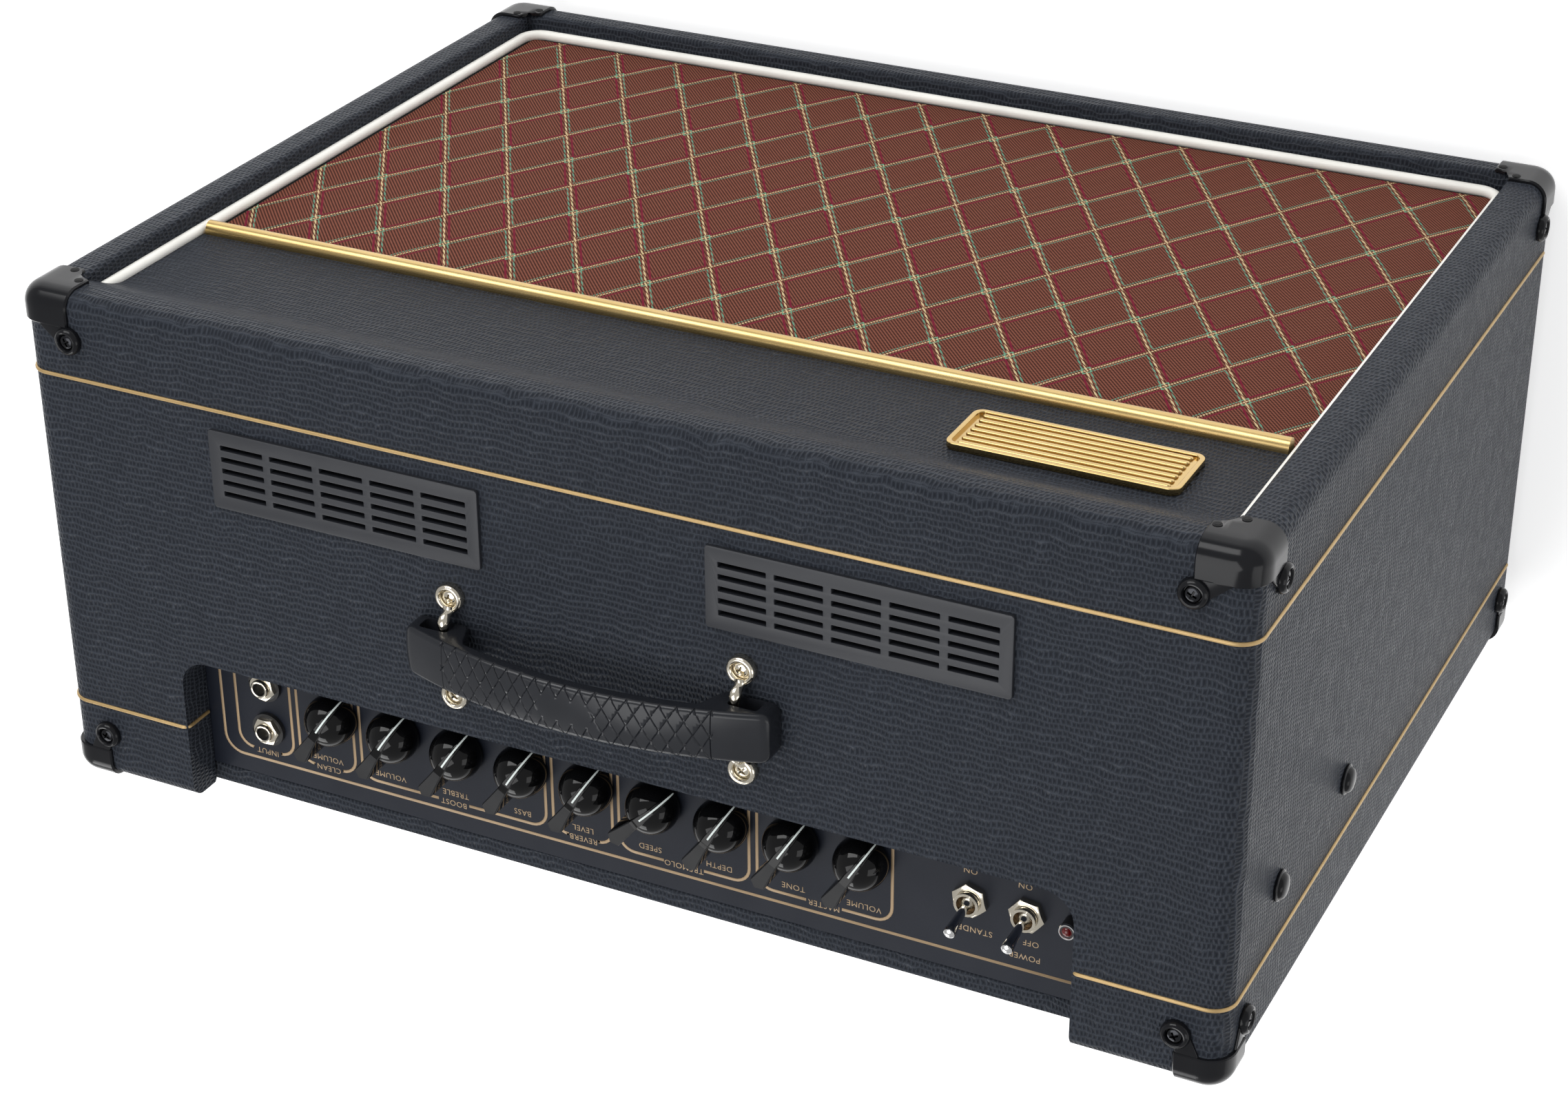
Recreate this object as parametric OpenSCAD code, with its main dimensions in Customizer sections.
// Combo guitar amplifier: a covered plywood cabinet with a 12 inch speaker behind a woven
// grille and a top-mounted control chassis. It stands on its feet, front towards -Y, +Z up,
// origin on the floor under the middle of the cabinet. Millimetres.

/* [Cabinet] */
// Width over the covering
cab_w = 606; // [590:1:640]
// Depth from front edge to back edge
cab_d = 262; // [255:1:280]
// Height without the feet
cab_h = 456; // [450:1:480]
// Thickness of the side boards
side_t = 19.5; // [18:0.5:20]
// Thickness of the top and bottom boards
top_t = 18.5; // [18:0.5:19]
// Radius of the long outer edges
edge_r = 11; // [8:1:14]
// Height of the rubber feet
foot_h = 12; // [8:1:16]
// Depth of the grille behind the front edge
recess = 11; // [9:1:13]
// Thickness of the baffle
baffle_t = 16; // [12:1:18]
// Thickness of the back panels
back_t = 11; // [9:1:12]

/* [Control opening] */
// Width of the opening in the top board
notch_w = 463.6; // [460:0.2:468]
// Depth of the opening, measured from the back edge
notch_d = 80.2; // [78:0.2:82]
// Radius of the inner corners of the opening
notch_r = 15; // [8:1:20]
// Height of the control chassis
chassis_h = 51; // [48:1:60]

/* [Controls] */
// Distance between neighbouring knobs
knob_pitch = 35.1; // [34:0.1:36]
// Height of the chicken-head knobs
knob_h = 20.8; // [18:0.2:22]
// Radius of the dome of a knob
knob_r = 12.9; // [11:0.1:13]
// Turn of the knobs away from straight ahead, in degrees
knob_turn = 31; // [0:1:60]
// Turn of the sixth knob, in degrees
speed_turn = 46; // [0:1:60]
// Tilt of the toggle levers at rest, in degrees
lever_tilt = 10; // [8:1:15]

/* [Handle] */
// Length of the moulded strap
handle_l = 185; // [180:1:200]
// Width of the strap
handle_w = 25; // [22:1:28]
// Height of the strap above the cabinet
handle_h = 30; // [26:1:32]
// Thickness of the strap between its ends
handle_t = 7.5; // [6:0.5:10]

/* [Speaker] */
// Outer radius of the speaker frame
speaker_r = 154.5; // [152:0.5:156]
// Depth of the speaker
speaker_depth = 128; // [120:1:135]

/* [Hidden] */
$fn = 64;

z_low = foot_h;
z_top = foot_h + cab_h;
y_front = -cab_d / 2;
y_back = cab_d / 2;
in_x = cab_w / 2 - side_t;
in_low = z_low + top_t;
in_top = z_top - top_t;
y_cloth = y_front + recess;
cloth_t = 1.8;
y_baffle = y_cloth + cloth_t;
y_mount = y_baffle + baffle_t;

pipe_r = 3.2;
pipe_top = z_top - 33;
bar_z = z_low + 340.6;
bar_h = 8.4;
speaker_z = in_low + 5 + speaker_r;
speaker_bolt_r = 147;

panel_t = 1.2;
panel_z = in_top - 0.5;
sheet_t = 1.5;
chassis_y0 = y_back - notch_d - 5;
chassis_y1 = y_back - back_t - 0.5;
chassis_low = panel_z - panel_t - chassis_h + 1.2;
tray_x = 238;
knob_x0 = 156.3;
row_y = y_back - 58;
jack_x = 196.4;
toggle_x = [-176.2, -203.4];
lamp_x = -224.6;
toggle_y = row_y + 6.5;
lamp_y = row_y + 5;
lens_r = 2.9;
shaft_r = 3.15;
fit_gap = 0.05;
rear_row_z = chassis_low + 21;
inlet_x = -190;
fuse_x = -146;
out_jack_x = [-108, -76];

handle_y = 3.2;
bail_half = 25.6;
bail_x = 74;
bail_z = z_top + 8;
bail_r = 2;
cap_t = 1.8;
// Screws of the corner protectors: distance from the side and from the front or back edge
front_boss = [27, 22];
back_boss = [22.5, 25];
boss_r = 6.9;
// Gold beads, measured from the front edge
bead_y = [41.5, 221];
bead_w = 1.9;

// Outline of the cabinet seen from the front, grown by g
module cab_outline(g = 0) {
    w = cab_w + 2 * g;
    h = cab_h + 2 * g;
    r = edge_r + g;
    translate([0, z_low + cab_h / 2]) {
        square([w - 2 * r, h], center = true);
        square([w, h - 2 * r], center = true);
        for (i = [-1, 1], j = [-1, 1])
            translate([i * (w / 2 - r), j * (h / 2 - r)]) circle(r);
    }
}

// Extrudes an x-z outline from y0 to y1
module along_y(y0, y1) {
    translate([0, y1, 0]) rotate([90, 0, 0]) linear_extrude(y1 - y0) children();
}

// Extrudes a y-z outline from x0 to x1
module along_x(x0, x1) {
    translate([x0, 0, 0]) rotate([90, 0, 90]) linear_extrude(x1 - x0) children();
}

// Box between two opposite corners
module block(a, b) {
    translate(a) cube(b - a);
}

// Cylinder along +Y starting at p
module peg_y(p, r, h) {
    translate(p) rotate([-90, 0, 0]) cylinder(h = h, r = r);
}

// Repeats a shape drawn for +X, -Y, +Z at the four front corners, or at the four back ones
module at_corners(back) {
    for (i = [0, 1], k = [0, 1])
        mirror([i, 0, 0]) mirror([0, back ? 1 : 0, 0])
            translate([0, 0, z_low + cab_h / 2]) mirror([0, 0, k]) children();
}

// ---- cabinet ----

module side_board(s) {
    color([0.06, 0.07, 0.08])
        translate([s * (cab_w / 2 - side_t / 2), 0, z_low + cab_h / 2])
            cube([side_t, cab_d, cab_h - 2 * top_t], center = true);
}

module top_board() {
    vent_hole = [136, 30, 40];
    color([0.06, 0.07, 0.08]) difference() {
        along_y(y_front, y_back) intersection() {
            cab_outline();
            translate([-cab_w / 2, in_top]) square([cab_w, top_t]);
        }
        translate([0, 0, in_top - 1]) linear_extrude(top_t + 2) notch_outline();
        for (s = [-1, 1])
            translate([s * 128.6, -60, z_top]) cube(vent_hole, center = true);
    }
}

module notch_outline() {
    y0 = y_back - notch_d;
    translate([-notch_w / 2, y0 + notch_r]) square([notch_w, notch_d]);
    translate([-notch_w / 2 + notch_r, y0]) square([notch_w - 2 * notch_r, notch_d]);
    for (s = [-1, 1])
        translate([s * (notch_w / 2 - notch_r), y0 + notch_r]) circle(notch_r);
}

module bottom_board() {
    color([0.06, 0.07, 0.08])
        along_y(y_front, y_back) intersection() {
            cab_outline();
            translate([-cab_w / 2, z_low]) square([cab_w, top_t]);
        }
}

module baffle_board() {
    color([0.55, 0.42, 0.28]) difference() {
        block([-in_x, y_baffle, in_low], [in_x, y_mount, in_top]);
        peg_y([0, y_baffle - 1, speaker_z], 140, baffle_t + 2);
        for (a = [22.5:45:359])
            peg_y([speaker_bolt_r * cos(a), y_baffle - 1,
                speaker_z + speaker_bolt_r * sin(a)], 2.65, baffle_t + 2);
    }
}

// Covered board above the gold bar; its face curves forward to meet the top edge
module front_valance() {
    ramp = 26;
    reach = recess - 2.5;
    steps = 8;
    color([0.06, 0.07, 0.08]) difference() {
        along_x(-in_x, in_x)
            polygon(concat(
                [[y_baffle, bar_z + bar_h / 2], [y_cloth, bar_z + bar_h / 2]],
                [for (i = [0:steps]) [y_cloth - reach * (1 - cos(180 * i / steps)) / 2,
                    in_top - ramp + ramp * i / steps]],
                [[y_baffle, in_top]]));
        // the piping runs up beside it
        for (s = [-1, 1])
            block([s > 0 ? in_x - 2 * pipe_r : -in_x - 1, y_front - 1, bar_z],
                [s > 0 ? in_x + 1 : -in_x + 2 * pipe_r, y_baffle + 1, pipe_top]);
    }
}

module grille_cloth() {
    x = in_x - 2 * pipe_r;
    color([0.36, 0.14, 0.11])
        block([-x, y_cloth, in_low + 2 * pipe_r], [x, y_baffle, bar_z - bar_h / 2]);
}

module gold_bar() {
    x = in_x - 2 * pipe_r - 0.2;
    color([0.8, 0.62, 0.25])
        along_x(-x, x) intersection() {
            translate([y_baffle, bar_z]) circle(bar_h * 0.95);
            translate([y_cloth - 6, bar_z - bar_h / 2]) square([6 + cloth_t, bar_h]);
        }
}

module front_piping() {
    x = in_x - pipe_r;
    z = in_low + pipe_r;
    bend = 10;
    y = y_cloth - 1.4;
    color([0.92, 0.9, 0.84]) {
        for (s = [-1, 1]) {
            translate([s * x, y, z + bend]) cylinder(h = pipe_top - z - bend, r = pipe_r);
            translate([s * (x - bend), y, z + bend]) rotate([90, 0, 0])
                rotate([0, 0, s > 0 ? 270 : 180])
                    rotate_extrude(angle = 90) translate([bend, 0]) circle(pipe_r);
        }
        translate([-x + bend, y, z]) rotate([0, 90, 0])
            cylinder(h = 2 * (x - bend), r = pipe_r);
    }
}

// Raised gold beads around the top and the sides
module gold_piping() {
    bead_t = 1;
    color([0.78, 0.6, 0.25])
        for (from_front = bead_y) {
            y = y_front + from_front;
            difference() {
                along_y(y - bead_w / 2, y + bead_w / 2) difference() {
                    cab_outline(bead_t);
                    cab_outline();
                }
                block([-cab_w, y - 5, 0], [cab_w, y + 5, z_low + edge_r]);
                if (y > 0)
                    block([-notch_w / 2, y - 5, in_top], [notch_w / 2, y + 5, z_top + 5]);
            }
        }
}

module badge() {
    color([0.8, 0.62, 0.25])
        block([-249, y_cloth - 3.4, z_low + 366], [-143, y_cloth, z_low + 403]);
}

module top_vents() {
    slot = [23, 2.6, 10];
    pitch_x = 27;
    pitch_y = 5.9;
    color([0.03, 0.03, 0.03])
        for (s = [-1, 1])
            translate([s * 128.6, -60, z_top]) difference() {
                translate([0, 0, 1]) cube([143.7, 40, 2], center = true);
                for (i = [-2:2], j = [-2:2])
                    translate([i * pitch_x, j * pitch_y, 0]) cube(slot, center = true);
            }
}

// ---- corner protectors, drawn for the corner at +X, -Y, +Z with its tip at the origin ----

// Quarter outline of a corner with its tip at the origin, grown by g
module corner_outline(size, g) {
    difference() {
        translate([-size, -size]) square(size + g);
        difference() {
            translate([-edge_r, -edge_r]) square(edge_r + g + 1);
            translate([-edge_r, -edge_r]) circle(edge_r + g);
        }
    }
}

module corner_cap(boss, arm) {
    wrap = 15.5;
    // band around the long edge
    along_y(0, wrap) difference() {
        corner_outline(arm, cap_t);
        corner_outline(arm + 1, 0);
    }
    // flange on the front face, hollowed on its inner side
    along_y(-cap_t, 0) difference() {
        corner_outline(arm, cap_t);
        translate([-arm - 1.5, -arm - 1.5]) circle(11);
    }
    // pointed tabs on the two faces that carry the screws
    linear_extrude(cap_t) corner_tab(arm, wrap, boss);
    mirror([1, 0, -1]) linear_extrude(cap_t) corner_tab(arm, wrap, boss);
}

module corner_tab(arm, wrap, boss) {
    polygon([[-arm, 0], [-edge_r, 0], [-edge_r, wrap], [-boss[0] + 4, boss[1] + boss_r - 1.5],
        [-boss[0] - 5, boss[1] + boss_r - 4], [-arm, wrap]]);
    translate([-boss[0], boss[1]]) circle(boss_r);
}

module corner_protectors() {
    color([0.02, 0.02, 0.02]) {
        at_corners(false) translate([cab_w / 2, y_front, cab_h / 2]) corner_cap(front_boss, 27.5);
        at_corners(true) translate([cab_w / 2, y_front, cab_h / 2]) corner_cap(back_boss, 23);
    }
}

// Cup washer and domed screw head standing on a face, with a shank into the wood
module cup_screw(washer_r, head_r, shank) {
    cylinder(h = 1.6, r1 = washer_r, r2 = washer_r - 1.2);
    translate([0, 0, 1.6]) cylinder(h = 1.2, r1 = head_r, r2 = head_r - 1);
    translate([0, 0, -shank]) cylinder(h = shank, r = 1.6);
}

// Screws of one corner protector, on the top or bottom and on the side
module corner_screws(boss) {
    translate([cab_w / 2 - boss[0], y_front + boss[1], cab_h / 2 + cap_t])
        cup_screw(boss_r - 0.8, 3.8, 14);
    translate([cab_w / 2 + cap_t, y_front + boss[1], cab_h / 2 - boss[0]])
        rotate([0, 90, 0]) cup_screw(boss_r - 0.8, 3.8, 14);
}

module wood_screws() {
    color([0.75, 0.75, 0.75]) {
        at_corners(false) corner_screws(front_boss);
        at_corners(true) corner_screws(back_boss);
        for (s = [-1, 1], d = [-bail_half, bail_half])
            translate([s * bail_x, handle_y + d, z_top + 2]) cup_screw(4.6, 3.6, 16);
        for (x = [-262, 262], z = [z_low + 345, in_top - 14]) back_screw(x, z);
        for (x = [-250, -125, 125, 250]) back_screw(x, in_low + 10);
    }
}

module back_screw(x, z) {
    translate([x, y_back, z]) rotate([-90, 0, 0]) cup_screw(5.5, 3.6, 16);
}

module feet() {
    color([0.04, 0.04, 0.04])
        for (i = [-1, 1], j = [-1, 1])
            translate([i * 248, j * 92, 0]) {
                difference() {
                    cylinder(h = foot_h, r1 = 17, r2 = 19);
                    translate([0, 0, -1]) cylinder(h = 7, r = 6);
                }
                translate([0, 0, 4]) cylinder(h = 2, r = 5);
            }
}

module chassis_bolts() {
    color([0.03, 0.03, 0.03])
        for (s = [0, 1], z = [z_low + 301.4, z_low + 396.5])
            mirror([s, 0, 0])
                translate([cab_w / 2, y_front + 190.5, z]) rotate([0, 90, 0]) {
                    cylinder(h = 1.5, r = 7.4);
                    translate([0, 0, 1.5]) cylinder(h = 3, r1 = 6.8, r2 = 4);
                    translate([0, 0, -side_t - 5]) cylinder(h = side_t + 5, r = 2.5);
                }
}

// ---- handle ----

module handle() {
    rise = 17;
    half = handle_l / 2;
    top_r = (half * half + rise * rise) / (2 * rise);
    block_x = 67;
    slot = [71, 86];
    color([0.03, 0.03, 0.03])
        difference() {
            along_y(handle_y - handle_w / 2, handle_y + handle_w / 2)
                translate([0, z_top]) difference() {
                    intersection() {
                        translate([0, handle_h - top_r]) circle(top_r, $fn = 200);
                        translate([-half, 0.3]) square([handle_l, handle_h]);
                    }
                    intersection() {
                        translate([0, handle_h - top_r]) circle(top_r - handle_t, $fn = 200);
                        translate([-block_x, 0]) square([2 * block_x, handle_h]);
                    }
                }
            for (s = [-1, 1])
                block([s > 0 ? slot[0] : -slot[1], handle_y - 20, z_top + 2.8],
                    [s > 0 ? slot[1] : -slot[0], handle_y + 20, z_top + 11.2]);
        }
}

module handle_bails() {
    leg = 17.5;
    rise = bail_z - z_top;
    color([0.8, 0.78, 0.72])
        for (s = [-1, 1]) translate([s * bail_x, handle_y, z_top]) {
            for (d = [-1, 1]) {
                translate([0, d * bail_half, 0]) cylinder(h = 2, r = 7.2);
                translate([0, d * leg, 1]) cylinder(h = rise - 1, r = bail_r);
                translate([0, d * leg, rise]) sphere(bail_r);
                translate([-bail_r, d > 0 ? leg : -22, 0]) cube([2 * bail_r, 4.5, 2]);
            }
            translate([0, -leg, rise]) rotate([-90, 0, 0]) cylinder(h = 2 * leg, r = bail_r);
        }
}

// ---- control chassis ----

module chassis() {
    y0 = chassis_y0;
    y1 = chassis_y1;
    wall_top = panel_z - panel_t;
    inner = tray_x - sheet_t;
    color([0.7, 0.7, 0.72]) difference() {
        union() {
            difference() {
                block([-tray_x, y0, chassis_low], [tray_x, y1, wall_top]);
                block([-inner, y0 + sheet_t, chassis_low + sheet_t],
                    [inner, y1 - sheet_t, wall_top + 1]);
            }
            // legs that are bolted to the side boards
            for (s = [-1, 1]) {
                block([s > 0 ? tray_x : -in_x, y0, wall_top - sheet_t],
                    [s > 0 ? in_x : -tray_x, y0 + 28, wall_top]);
                block([s > 0 ? in_x - sheet_t : -in_x, y0, z_low + 288],
                    [s > 0 ? in_x : -in_x + sheet_t, y0 + 28, wall_top]);
            }
        }
        for (x = valve_x) translate([x, valve_y, chassis_low - 1]) cylinder(h = 4, r = 10.2);
        for (x = out_jack_x) peg_y([x, y1 - 3, rear_row_z], 4.85, 5);
        peg_y([fuse_x, y1 - 3, rear_row_z], 6.2, 5);
        block([inlet_x - 14, y1 - 3, rear_row_z - 10.5], [inlet_x + 14, y1 + 1, rear_row_z + 10.5]);
        for (s = [-1, 1], z = [z_low + 301.4, z_low + 396.5])
            translate([s * in_x, y_front + 190.5, z]) rotate([0, 90, 0])
                cylinder(h = 8, r = 2.7, center = true);
    }
}

module control_panel() {
    color([0.05, 0.05, 0.05]) difference() {
        block([-tray_x, chassis_y0, panel_z - panel_t], [tray_x, chassis_y1, panel_z]);
        for (i = [0:8]) panel_hole(knob_x(i), row_y, 4.75);
        for (y = jack_y) panel_hole(jack_x, y, 4.85);
        for (x = toggle_x) panel_hole(x, toggle_y, 6);
        panel_hole(lamp_x, lamp_y, 4);
    }
}

module panel_hole(x, y, r) {
    translate([x, y, panel_z - 3]) cylinder(h = 6, r = r);
}

function knob_x(i) = knob_x0 - i * knob_pitch;
jack_y = [row_y - 7, row_y + 18];
valve_y = chassis_y0 + 37;
valve_x = [30, 78, 122, 162, 202];

module jack_sockets() {
    color([0.05, 0.05, 0.05]) {
        for (y = jack_y) translate([jack_x, y, panel_z]) socket();
        for (x = out_jack_x)
            translate([x, chassis_y1, rear_row_z]) rotate([-90, 0, 0]) socket();
    }
}

// Jack socket through a sheet whose outer face is at z = 0
module socket() {
    difference() {
        union() {
            translate([-9.5, -10, -23]) cube([19, 20, 23 - sheet_t]);
            translate([0, 0, -sheet_t]) cylinder(h = 8, r = 4.7);
        }
        translate([0, 0, -22]) cylinder(h = 40, r = 3.25);
    }
    difference() {
        cylinder(h = 2.2, r = 8.8);
        translate([0, 0, -1]) cylinder(h = 5, r = 4.75);
    }
}

// Hexagonal nut with its lower face at z = 0
module hex_nut(across, h, r) {
    difference() {
        cylinder(h = h, r = across / 2 / cos(30), $fn = 6);
        translate([0, 0, -1]) cylinder(h = h + 2, r = r);
    }
}

module panel_nuts() {
    color([0.8, 0.8, 0.78]) {
        for (y = jack_y) translate([jack_x, y, panel_z + 2.2]) hex_nut(13, 2.5, 4.75);
        for (x = out_jack_x)
            translate([x, chassis_y1 + 2.2, rear_row_z]) rotate([-90, 0, 0])
                hex_nut(13, 2.5, 4.75);
        for (x = toggle_x) translate([x, toggle_y, panel_z]) hex_nut(15, 3.4, 5.95);
        for (i = [0:8]) translate([knob_x(i), row_y, panel_z]) hex_nut(12, 1.8, 4.7);
    }
}

module toggle_bodies() {
    color([0.75, 0.75, 0.75])
        for (x = toggle_x)
            translate([x, toggle_y, panel_z]) difference() {
                union() {
                    translate([-6.5, -14, -22]) cube([13, 28, 22 - panel_t]);
                    translate([0, 0, -panel_t]) cylinder(h = 7.7, r = 5.9);
                }
                translate([0, 0, -0.5]) cylinder(h = 10, r = 4.6);
            }
}

// Bat lever: a ball with a cross pin at its pivot, a neck and a rounded tip
module toggle_lever(x) {
    color([0.85, 0.85, 0.85])
        translate([x, toggle_y, panel_z + 4]) rotate([-lever_tilt, 0, 0]) {
            sphere(3.4);
            translate([-4.2, 0, 0]) rotate([0, 90, 0]) cylinder(h = 8.4, r = 1);
            cylinder(h = 19, r1 = 1.8, r2 = 2.9);
            translate([0, 0, 19]) sphere(2.9);
        }
}

module pilot_lamp() {
    color([0.05, 0.05, 0.05]) translate([lamp_x, lamp_y, panel_z]) difference() {
        translate([0, 0, -18]) cylinder(h = 26, r = 3.9);
        translate([0, 0, -4]) cylinder(h = 20, r = lens_r);
    }
}

module lamp_lens() {
    color([0.75, 0.05, 0.03]) translate([lamp_x, lamp_y, panel_z - 4]) {
        cylinder(h = 9, r = lens_r);
        translate([0, 0, 9]) intersection() {
            sphere(lens_r);
            cylinder(h = 6, r = 6);
        }
    }
}

module potentiometers() {
    color([0.6, 0.6, 0.62])
        for (i = [0:8]) translate([knob_x(i), row_y, panel_z]) difference() {
            union() {
                translate([0, 0, -17]) cylinder(h = 10.5, r = 12);
                translate([0, 0, -7]) cylinder(h = 7 + 3.4, r = 4.65);
                translate([0, 0, -7]) cylinder(h = 7 - panel_t, r = 8);
            }
            translate([0, 0, -6]) cylinder(h = 20, r = shaft_r + fit_gap);
        }
}

module spindle(i) {
    color([0.75, 0.75, 0.75])
        translate([knob_x(i), row_y, panel_z - 5.9]) cylinder(h = 20, r = shaft_r);
}

// Chicken-head knob: a tall dome with a ridge down to its beak and a flared tail. The beak
// points along -Y before the knob is turned
module control_knob(i) {
    turn = i == 5 ? speed_turn : knob_turn;
    dome_z = 4.1;
    beak = 16;
    tail = 19;
    color([0.03, 0.03, 0.03])
        translate([knob_x(i), row_y, panel_z + 1]) rotate([0, 0, -turn]) difference() {
            union() {
                intersection() {
                    translate([0, 0, dome_z]) sphere(knob_r);
                    cylinder(h = knob_h, r = knob_r + 1);
                }
                intersection() {
                    linear_extrude(knob_h + 1) polygon([[-2.5, 3], [-1.2, -beak - 1],
                        [1.2, -beak - 1], [2.5, 3], [4.1, tail - 2], [0, tail], [-4.1, tail - 2]]);
                    along_x(-6, 6) polygon([[-beak, 0.5], [-beak, 4], [-8, 14.8], [0, 17.5],
                        [4, 17.8], [tail + 1, knob_h], [tail + 1, 0.5]]);
                }
            }
            translate([0, 0, -1]) cylinder(h = 4, r = 8);
            translate([0, 0, 1]) cylinder(h = 12.2, r = shaft_r);
        }
}

module circuit_board() {
    board_z = chassis_low + 6;
    color([0.55, 0.5, 0.25]) {
        block([-160, chassis_y0 + 8, board_z], [175, chassis_y1 - 8, board_z + 2]);
        for (x = [-112:28:150])
            translate([x, row_y + 14, board_z + 2]) cylinder(h = 17, r = 8);
        for (x = [-140:20:160], y = [row_y - 22, row_y - 8])
            block([x - 6, y - 2, board_z + 2], [x + 6, y + 2, board_z + 8]);
        for (x = [-150, 0, 165], y = [row_y - 14, row_y + 30])
            translate([x, y, chassis_low + sheet_t]) cylinder(h = 6 - sheet_t, r = 3);
    }
}

module valve_sockets() {
    color([0.85, 0.83, 0.78])
        for (x = valve_x) translate([x, valve_y, chassis_low - 8]) {
            cylinder(h = 13, r = 10);
            translate([0, 0, 5]) cylinder(h = 3, r = 13);
        }
}

// Glass valves hanging below the chassis, the two output valves longer
module valves() {
    color([0.7, 0.75, 0.75])
        for (i = [0:4]) translate([valve_x[i], valve_y, chassis_low - 8]) {
            h = i < 2 ? 68 : 48;
            translate([0, 0, -h]) cylinder(h = h, r = 10.5);
            translate([0, 0, -h]) intersection() {
                sphere(10.5);
                translate([0, 0, -12]) cylinder(h = 12, r = 12);
            }
        }
}

// Laminated core with a winding and two end bells, hanging below z = 0
module transformer(w, d, h) {
    translate([-w / 2, -d / 2, -h]) cube([w, d, h]);
    for (s = [-1, 1])
        translate([-w / 2 + 6, s > 0 ? d / 2 : -d / 2 - 12, -h + 6]) cube([w - 12, 12, h - 12]);
}

// Mains transformer and the smaller output transformer
module transformers() {
    color([0.1, 0.1, 0.1]) {
        translate([-175, valve_y, chassis_low]) transformer(92, 36, 76);
        translate([-55, valve_y, chassis_low]) transformer(74, 30, 62);
    }
}

module fuse_holder() {
    color([0.04, 0.04, 0.04]) {
        peg_y([fuse_x, chassis_y1 - 30, rear_row_z], 6.1, 30);
        peg_y([fuse_x, chassis_y1, rear_row_z], 8, 9);
    }
}

module mains_inlet() {
    y = chassis_y1;
    color([0.04, 0.04, 0.04]) {
        difference() {
            union() {
                block([inlet_x - 13.8, y - 18, rear_row_z - 10.3],
                    [inlet_x + 13.8, y + 1, rear_row_z + 10.3]);
                block([inlet_x - 25, y, rear_row_z - 13], [inlet_x + 25, y + 2.5, rear_row_z + 13]);
            }
            block([inlet_x - 12, y - 16, rear_row_z - 8], [inlet_x + 12, y + 5, rear_row_z + 8]);
        }
        for (p = [[-7, -2], [0, 2.5], [7, -2]])
            block([inlet_x + p[0] - 1, y - 17, rear_row_z + p[1] - 2],
                [inlet_x + p[0] + 1, y - 4, rear_row_z + p[1] + 2]);
    }
}

// ---- back ----

module upper_back_panel() {
    z1 = in_top - 1.5;
    color([0.06, 0.07, 0.08]) difference() {
        block([-in_x, y_back - back_t, z_low + 330], [in_x, y_back, z1]);
        block([-222, y_back - 20, rear_row_z - 17], [-58, y_back + 1, rear_row_z + 17]);
    }
}

module lower_back_panel() {
    color([0.06, 0.07, 0.08])
        block([-in_x, y_back - back_t, in_low], [in_x, y_back, z_low + 118]);
}

module back_battens() {
    t = 16;
    y1 = y_back - back_t;
    color([0.62, 0.48, 0.32]) {
        block([-in_x, y1 - t, in_low], [in_x, y1, in_low + 18]);
        for (s = [-1, 1])
            block([s > 0 ? tray_x + 1 : -in_x, y1 - t, z_low + 330],
                [s > 0 ? in_x : -tray_x - 1, y1, panel_z - panel_t - sheet_t - 0.5]);
    }
}

module reverb_tank() {
    color([0.65, 0.65, 0.68]) difference() {
        block([-215, -30, in_low], [215, 80, in_low + 33]);
        block([-213, -28, in_low - 1], [213, 78, in_low + 31]);
    }
}

// ---- speaker ----

module on_speaker_axis() {
    translate([0, y_mount, speaker_z]) rotate([-90, 0, 0]) children();
}

module speaker_frame() {
    back = speaker_depth - 36;
    color([0.12, 0.12, 0.13]) on_speaker_axis() difference() {
        rotate_extrude() polygon([[138, 0], [speaker_r, 0], [speaker_r, 3], [143, 3],
            [132, 24], [66, back], [66, back + 3], [28, back + 3], [28, back], [63, back],
            [129, 22], [139, 3], [138, 3]]);
        for (a = [0:60:300]) rotate([0, 0, a])
            translate([76, -27, 30]) cube([70, 54, back - 40]);
        for (a = [22.5:45:359]) rotate([0, 0, a])
            translate([speaker_bolt_r, 0, -1]) cylinder(h = 6, r = 2.65);
    }
}

// Paper cone with its surround, voice coil former and dust cap
module speaker_cone() {
    color([0.15, 0.13, 0.12]) on_speaker_axis() {
        rotate_extrude() polygon([[134, 4], [134, 6], [126, 7], [29, 62], [26.5, 62],
            [26.5, 90], [25.5, 90], [25.5, 60], [124, 4.5]]);
        translate([0, 0, 54]) difference() {
            cylinder(h = 6, r = 25.4);
            translate([0, 0, 1.2]) cylinder(h = 6, r = 24);
        }
    }
}

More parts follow.
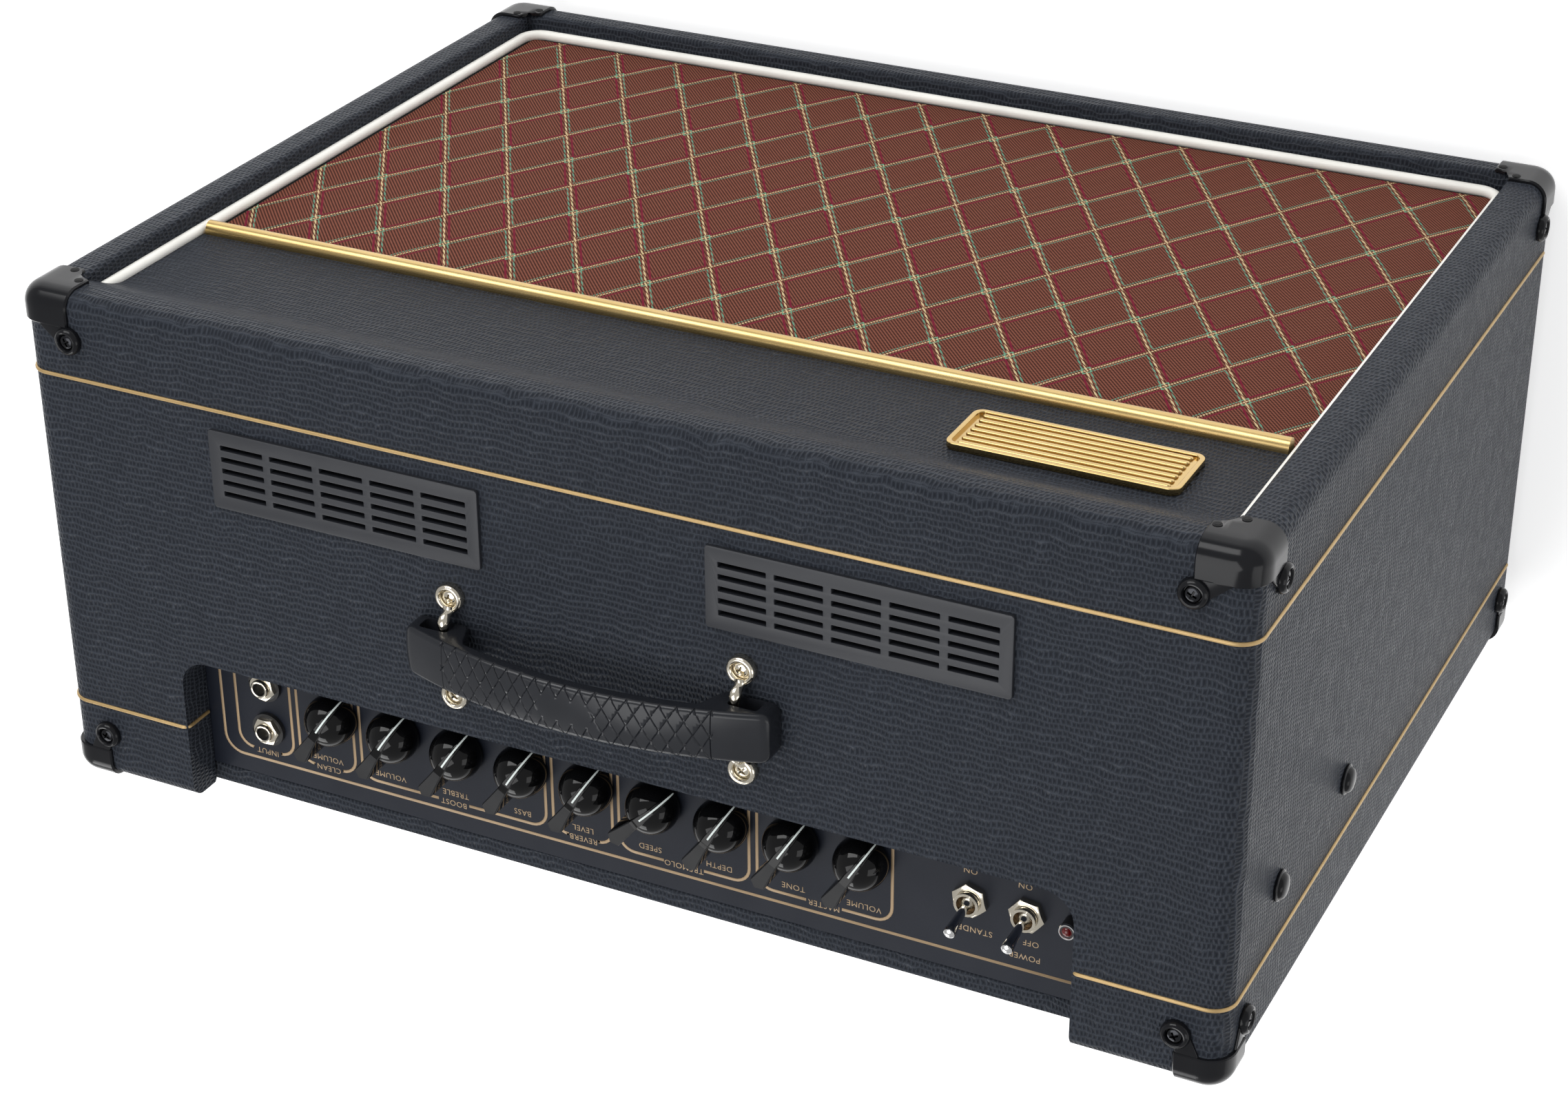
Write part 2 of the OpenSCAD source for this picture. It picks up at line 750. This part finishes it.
module speaker_magnet() {
    back = speaker_depth - 33;
    color([0.1, 0.1, 0.1]) on_speaker_axis() difference() {
        union() {
            translate([0, 0, back]) cylinder(h = 6, r = 60);
            translate([0, 0, back + 6]) cylinder(h = 20, r = 75);
            translate([0, 0, back + 26]) cylinder(h = 7, r = 60);
        }
        translate([0, 0, back - 1]) difference() {
            cylinder(h = 18, r = 27.5);
            translate([0, 0, -1]) cylinder(h = 20, r = 24.5);
        }
    }
}

module speaker_bolts() {
    color([0.75, 0.75, 0.75])
        on_speaker_axis() for (a = [22.5:45:359]) rotate([0, 0, a])
            translate([speaker_bolt_r, 0, 0]) {
                translate([0, 0, -baffle_t]) cylinder(h = baffle_t + 12, r = 2.6);
                translate([0, 0, 3]) cylinder(h = 4, r = 4.6, $fn = 6);
            }
}

side_board(-1);  // left_side_board
side_board(1);  // right_side_board
top_board();
bottom_board();
baffle_board();
front_valance();
grille_cloth();
gold_bar();
front_piping();
gold_piping();
badge();
top_vents();
corner_protectors();
wood_screws();
handle_bails();
chassis();
control_panel();
jack_sockets();
panel_nuts();
toggle_bodies();
pilot_lamp();
lamp_lens();
potentiometers();
speaker_frame();
speaker_magnet();
speaker_bolts();
speaker_cone();
transformers();
valves();
valve_sockets();
circuit_board();
reverb_tank();
upper_back_panel();
lower_back_panel();
back_battens();
mains_inlet();
fuse_holder();
feet();
chassis_bolts();
handle();
toggle_lever(toggle_x[0]);  // standby_lever
toggle_lever(toggle_x[1]);  // power_lever
control_knob(0);  // knob_1
control_knob(1);  // knob_2
control_knob(2);  // knob_3
control_knob(3);  // knob_4
control_knob(4);  // knob_5
control_knob(5);  // knob_6
control_knob(6);  // knob_7
control_knob(7);  // knob_8
control_knob(8);  // knob_9
spindle(0);  // spindle_1
spindle(1);  // spindle_2
spindle(2);  // spindle_3
spindle(3);  // spindle_4
spindle(4);  // spindle_5
spindle(5);  // spindle_6
spindle(6);  // spindle_7
spindle(7);  // spindle_8
spindle(8);  // spindle_9
